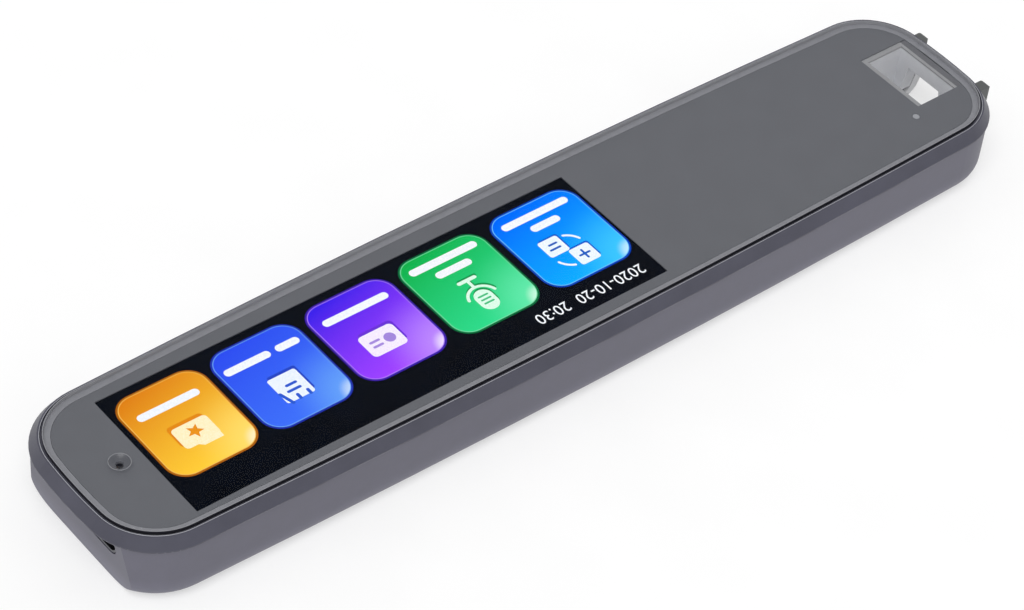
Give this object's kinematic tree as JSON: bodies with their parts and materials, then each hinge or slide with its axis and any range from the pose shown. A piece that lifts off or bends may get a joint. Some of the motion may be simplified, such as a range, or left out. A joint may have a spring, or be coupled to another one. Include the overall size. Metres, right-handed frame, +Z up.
{
  "type": "handheld scanning translator",
  "caption": "Pocket scanning translator: slim bar with a touch screen, clear scanning window and sprung sensing feet at the tip, power button and charging port.",
  "frame": {"origin": "under the middle of the whole length and width, on the flat back it lies on", "axes": "+X along the body towards the scanning tip, +Z up out of the screen, +Y to the long side with the power button"},
  "size_m": [0.1556, 0.0324, 0.0118],
  "materials": {
    "clear_lens": "clear polished",
    "lens_print": "grey back print under clear lens",
    "lens_glue": "pale grey",
    "casing_band": "satin dark grey",
    "casing_body": "satin grey",
    "display_glass": "black",
    "white_plastic": "white",
    "flex_amber": "amber film",
    "board_green": "green solder mask",
    "chip_black": "black resin",
    "shield_steel": "tinned sheet",
    "screw_steel": "dark zinc",
    "antenna_copper": "film copper",
    "socket_steel": "nickel plated",
    "button_plastic": "satin dark grey",
    "rubber_black": "black",
    "mic_metal": "gold plated",
    "battery_wrap": "silver foil",
    "foam_grey": "adhesive foam",
    "speaker_black": "black",
    "mesh_black": "dust mesh",
    "chamber_grey": "pale grey diffuse",
    "camera_black": "black",
    "camera_glass": "coated",
    "lamp_white": "milky",
    "light_pipe": "frosted",
    "trigger_grey": "dark grey",
    "spring_steel": "spring wire"
  },
  "bodies": {
    "casing": {"cover_lens": "clear_lens", "lens_mask": "lens_print", "lens_adhesive": "lens_glue", "top_frame": "casing_band", "back_shell": "casing_body", "display_panel": "display_glass", "display_backlight": "white_plastic", "display_flex": "flex_amber", "display_connector": "chip_black", "main_board": "board_green", "processor_chip": "chip_black", "memory_chip": "chip_black", "board_shield": "shield_steel", "board_screws": "screw_steel", "wireless_antenna": "antenna_copper", "usb_socket": "socket_steel", "power_switch": "chip_black", "mic_gasket": "rubber_black", "microphone": "mic_metal", "mic_board": "board_green", "battery": "battery_wrap", "battery_pad": "foam_grey", "battery_board": "board_green", "speaker": "speaker_black", "speaker_mesh": "mesh_black", "scan_chamber": "chamber_grey", "scan_board": "board_green", "scan_board_screws": "screw_steel", "camera_module": "camera_black", "camera_lens": "camera_glass", "lamp_board": "board_green", "scan_lamps": "lamp_white", "status_light": "light_pipe", "trigger_spring_near": "spring_steel", "trigger_spring_far": "spring_steel", "tip_switch": "chip_black"},
    "power_button": {"power_button": "button_plastic"},
    "tip_trigger": {"tip_trigger": "trigger_grey"}
  },
  "joints": [
    {"name": "power_button_press", "type": "slide", "parent": "casing", "child": "power_button", "axis": [0, -1, 0], "range_m": [0, 0.00035], "stiffness_N_per_m": 2000, "springref_m": -0.0006},
    {"name": "tip_trigger_press", "type": "slide", "parent": "casing", "child": "tip_trigger", "axis": [-1, 0, 0], "range_m": [0, 0.00075], "stiffness_N_per_m": 300, "springref_m": -0.001, "deforming": ["trigger_spring_near", "trigger_spring_far"]}
  ]
}
